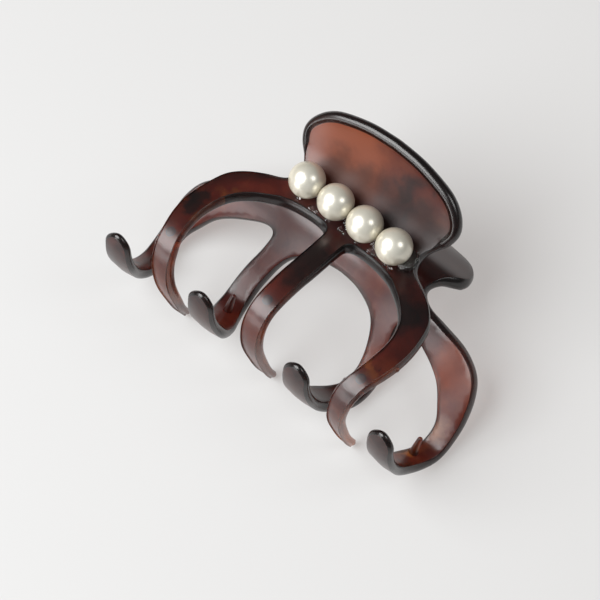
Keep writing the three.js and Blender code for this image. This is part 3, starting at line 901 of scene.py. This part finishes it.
# Each drop is (centre, radii): first a bed under the pearls, then a row of droplets that show
# between them and the prongs, then stray ones at the ends and along the edge.
drops = []
bed_drops, bed_pitch = 9, 0.93 * PEARL_PITCH / 2
for i in range(bed_drops):
    x = (i - (bed_drops - 1) / 2) * bed_pitch
    drops.append(((x, draw.uniform(-0.15, 0.15), SADDLE_HEIGHT + 0.35), (2.4, 2.7, 0.85)))
for x, size in ((-12.4, 0.6), (-8.7, 0.85), (-7.3, 0.6), (-4.2, 0.65), (-0.8, 0.8), (0.6, 0.6),
                (3.8, 0.6), (7.2, 0.85), (8.6, 0.6), (11.8, 0.7), (13.2, 0.6)):
    y = -3.75 + draw.uniform(-0.25, 0.25)
    drops.append(((x, y, SADDLE_HEIGHT + 0.75), (size, 0.8 * size, 0.7 * size)))
for x, y, size in ((15.2, -0.6, 0.8), (15.6, 0.7, 0.6), (16.2, -0.1, 0.45), (-15.1, 0.3, 0.6),
                   (14.5, -1.8, 0.8), (4.1, -2.4, 0.8), (-3.9, -2.4, 0.75), (11.9, -2.6, 0.7),
                   (8.0, -2.7, 0.7), (0.2, -2.6, 0.6), (-7.8, -2.5, 0.7), (-11.6, -2.4, 0.65)):
    drops.append(((x, y, SADDLE_HEIGHT + 0.3), (size, size, 0.7 * size)))
parts = [ball("drop", centre, radii, levels=3, materials=[glue_clear]) for centre, radii in drops]
glue = parts[0]
glue.name = "glue_bead"
combine(glue, parts[1:], "UNION")
smooth = glue.modifiers.new("even", "REMESH")
smooth.mode = "VOXEL"
smooth.voxel_size = 0.22 * MM
apply_modifiers(glue)
tidy_normals(glue, sharp_angle=80)
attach(glue, "front_half")
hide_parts("pearl_adhesive")

# ---- floor, lights and camera ----------------------------------------------------------------

# The floor gives off part of its own brightness, so that shadows on it stay light and warm.
floor_paint = Nodes("pale_floor")
floor_paint.set(Base_Color=(0.264, 0.276, 0.279, 1), Roughness=0.75)
floor_paint.set(Emission_Color=(1.0, 0.94, 0.91, 1), Emission_Strength=0.385)
floor_half_size = 4
floor_drop = 0.0002         # just below the clip, which rests on height 0
work = bmesh.new()
bmesh.ops.create_grid(work, x_segments=1, y_segments=1, size=floor_half_size)
floor_mesh = bpy.data.meshes.new("floor")
work.to_mesh(floor_mesh)
work.free()
floor = bpy.data.objects.new("floor", floor_mesh)
floor.location.z = -floor_drop
floor_mesh.materials.append(floor_paint.material)
bpy.context.scene.collection.objects.link(floor)
floor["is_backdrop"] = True

# Where the camera stands as seen from the pearls, in the clip's frame: degrees from +X towards
# +Y, degrees towards +Z, and its turn about its own axis.
VIEW_AZIMUTH = -15.78
VIEW_ELEVATION = 69.33
VIEW_ROLL = -35.77
VIEW_DISTANCE = 490.7
PEARLS_ASIDE = (0.02114, 0.03663)   # right and up of the view's middle, per unit of distance
SENSOR_WIDTH = 36
LENS = 142.5


def camera_axes():
    """The camera's right, up and backward directions, in the row frame."""
    angles = (VIEW_AZIMUTH, VIEW_ELEVATION, VIEW_ROLL)
    azimuth, elevation, roll = (math.radians(angle) for angle in angles)
    level = math.cos(elevation)
    back = np.array((level * math.cos(azimuth), level * math.sin(azimuth), math.sin(elevation)))
    flat = np.array((-math.sin(azimuth), math.cos(azimuth), 0))
    right = flat * math.cos(roll) + np.cross(back, flat) * math.sin(roll)
    return [Vector(axis @ CLIP_AXES) for axis in (right, np.cross(back, right), back)]


view_axes = camera_axes()
pearl_middle = Vector(to_row([(0, 0, PEARL_HEIGHT)])[0])

camera_data = bpy.data.cameras.new("camera")
camera_data.sensor_width = SENSOR_WIDTH
camera_data.lens = LENS
camera_data.clip_end = 20
camera = bpy.data.objects.new("camera", camera_data)
bpy.context.scene.collection.objects.link(camera)
towards_pearls = Vector((*PEARLS_ASIDE, -1)).normalized()
aim = towards_pearls.rotation_difference(Vector((0, 0, -1))).to_matrix()
turn = Matrix(view_axes).transposed() @ aim
place = Matrix.Translation(pearl_middle + view_axes[2] * VIEW_DISTANCE * MM)
camera.matrix_world = place @ turn.to_4x4()
bpy.context.scene.camera = camera


def softbox(name, direction, distance, width, height, power):
    """A round soft light that faces the pearls. direction is given along the camera's axes."""
    data = bpy.data.lights.new(name, "AREA")
    data.shape = "ELLIPSE"
    data.size, data.size_y = width, height
    data.energy = power
    light = bpy.data.objects.new(name, data)
    away = sum((axis * part for axis, part in zip(view_axes, direction)), Vector()).normalized()
    light.location = pearl_middle + away * distance
    light.rotation_euler = away.to_track_quat("Z", "Y").to_euler()
    bpy.context.scene.collection.objects.link(light)


softbox("large_softbox", (-0.66, 0.22, 0.72), distance=0.62, width=0.66, height=0.62, power=7.6)
softbox("small_softbox", (0.62, 0.17, 0.76), distance=0.60, width=0.26, height=0.28, power=0.8)
softbox("low_softbox", (-0.86, -0.42, 0.30), distance=0.60, width=0.36, height=0.30, power=1.0)

world = bpy.data.worlds.new("studio")
world.use_nodes = True
background = world.node_tree.nodes["Background"]
background.inputs["Color"].default_value = (1, 1, 1, 1)
background.inputs["Strength"].default_value = 0.13
bpy.context.scene.world = world
bpy.context.scene.view_settings.view_transform = "Standard"

# ---- sizes of both models --------------------------------------------------------------------

sizes = {"cad": cad_box, "visual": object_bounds()}
sizes = {name: [list(corner) for corner in box] for name, box in sizes.items()}
